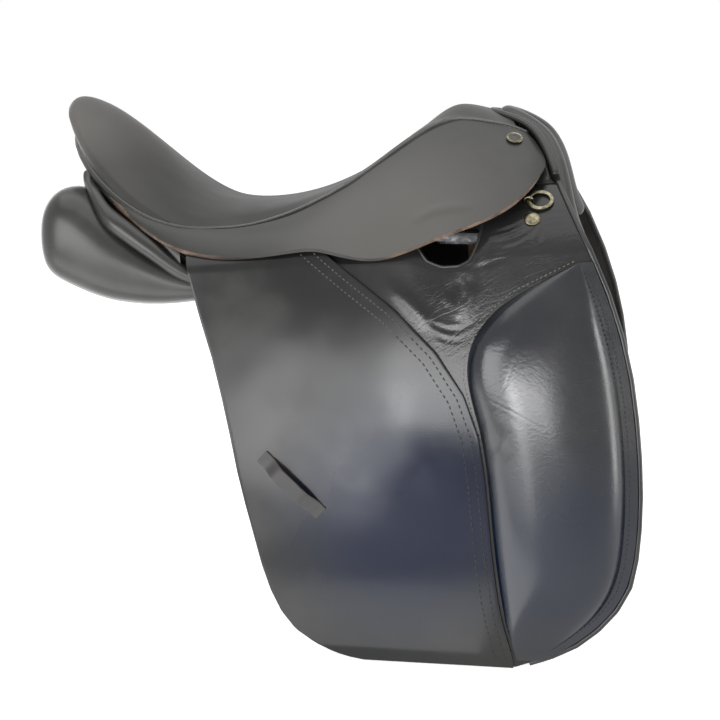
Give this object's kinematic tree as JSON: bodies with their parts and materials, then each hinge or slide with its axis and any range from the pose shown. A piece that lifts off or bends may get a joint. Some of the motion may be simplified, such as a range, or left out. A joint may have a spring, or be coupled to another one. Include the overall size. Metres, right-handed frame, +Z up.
{
  "type": "dressage saddle",
  "caption": "Black leather dressage saddle with a deep seat, long straight flaps with knee pads, padded panels, girth straps, stirrup bars and dee rings.",
  "frame": {"origin": "on the centre line, at the level where the panels bear under the girth straps", "axes": "+X forward, towards the pommel; +Y to the near (left) side; +Z up"},
  "size_m": [0.5514, 0.404, 0.4851],
  "materials": {
    "leather": "satin",
    "soft_leather": "satin",
    "wood": "matte",
    "steel": "satin",
    "gold": "polished",
    "foam": "matte",
    "wool": "matte",
    "canvas": "matte"
  },
  "bodies": {
    "saddle": {"tree_rails": "wood", "tree_head": "wood", "head_plate": "steel", "gullet_plate": "steel", "tree_springs": "steel", "tree_rivets": "steel", "seat_webs": "canvas", "seat_foam": "foam", "seat_cover": "leather", "seat_welt": "leather", "pommel_welt": "leather", "panel_roll": "soft_leather", "skirt_left": "leather", "skirt_right": "leather", "rear_facing": "leather", "skirt_buttons": "gold", "head_cover_left": "leather", "head_cover_right": "leather", "yoke_left": "soft_leather", "yoke_right": "soft_leather", "yoke_binding_left": "leather", "yoke_binding_right": "leather", "panel_left": "soft_leather", "panel_right": "soft_leather", "panel_flock_left": "wool", "panel_flock_right": "wool", "panel_welt_left": "leather", "panel_welt_right": "leather", "sweat_flap_left": "leather", "sweat_flap_right": "leather", "girth_web_left": "canvas", "girth_web_right": "canvas", "stirrup_bar_left": "steel", "stirrup_bar_right": "steel", "dee_staple_left": "gold", "dee_staple_right": "gold", "flap_nails": "gold"},
    "flap_left": {"flap_left": "soft_leather", "flap_firm_left": "leather", "knee_block_left": "foam", "knee_cover_left": "leather", "flap_binding_left": "leather", "keeper_left": "leather"},
    "front_strap_left": {"front_strap_left": "leather"},
    "rear_strap_left": {"rear_strap_left": "leather"},
    "bar_catch_left": {"bar_catch_left": "steel"},
    "dee_ring_left": {"dee_ring_left": "gold"},
    "flap_right": {"flap_right": "soft_leather", "flap_firm_right": "leather", "knee_block_right": "foam", "knee_cover_right": "leather", "flap_binding_right": "leather", "keeper_right": "leather"},
    "front_strap_right": {"front_strap_right": "leather"},
    "rear_strap_right": {"rear_strap_right": "leather"},
    "bar_catch_right": {"bar_catch_right": "steel"},
    "dee_ring_right": {"dee_ring_right": "gold"}
  },
  "joints": [
    {"name": "flap_left_lift", "type": "hinge", "parent": "saddle", "child": "flap_left", "pos_m": [0, 0.15, 0.0129], "axis": [0.9967, 0, 0.0817], "range_deg": [0, 85]},
    {"name": "front_strap_left_swing", "type": "hinge", "parent": "saddle", "child": "front_strap_left", "pos_m": [0.024, 0.13725, -0.001], "axis": [0, 1, 0], "range_deg": [-25, 6]},
    {"name": "rear_strap_left_swing", "type": "hinge", "parent": "saddle", "child": "rear_strap_left", "pos_m": [-0.038, 0.13725, -0.001], "axis": [0, 1, 0], "range_deg": [-6, 25]},
    {"name": "bar_catch_left_tilt", "type": "hinge", "parent": "saddle", "child": "bar_catch_left", "pos_m": [0.0845, 0.1251, 0.037], "axis": [0, 1, 0], "range_deg": [0, 75]},
    {"name": "dee_ring_left_swing", "type": "hinge", "parent": "saddle", "child": "dee_ring_left", "pos_m": [0.163, 0.11711, 0.06896], "axis": [0, -0.7833, 0.6217], "range_deg": [0, 45]},
    {"name": "flap_right_lift", "type": "hinge", "parent": "saddle", "child": "flap_right", "pos_m": [0, -0.15, 0.0129], "axis": [-0.9967, 0, -0.0817], "range_deg": [0, 85]},
    {"name": "front_strap_right_swing", "type": "hinge", "parent": "saddle", "child": "front_strap_right", "pos_m": [0.024, -0.13725, -0.001], "axis": [0, 1, 0], "range_deg": [-25, 6]},
    {"name": "rear_strap_right_swing", "type": "hinge", "parent": "saddle", "child": "rear_strap_right", "pos_m": [-0.038, -0.13725, -0.001], "axis": [0, 1, 0], "range_deg": [-6, 25]},
    {"name": "bar_catch_right_tilt", "type": "hinge", "parent": "saddle", "child": "bar_catch_right", "pos_m": [0.0845, -0.1251, 0.037], "axis": [0, 1, 0], "range_deg": [0, 75]},
    {"name": "dee_ring_right_swing", "type": "hinge", "parent": "saddle", "child": "dee_ring_right", "pos_m": [0.163, -0.11711, 0.06896], "axis": [0, -0.7833, -0.6217], "range_deg": [0, 45]}
  ]
}
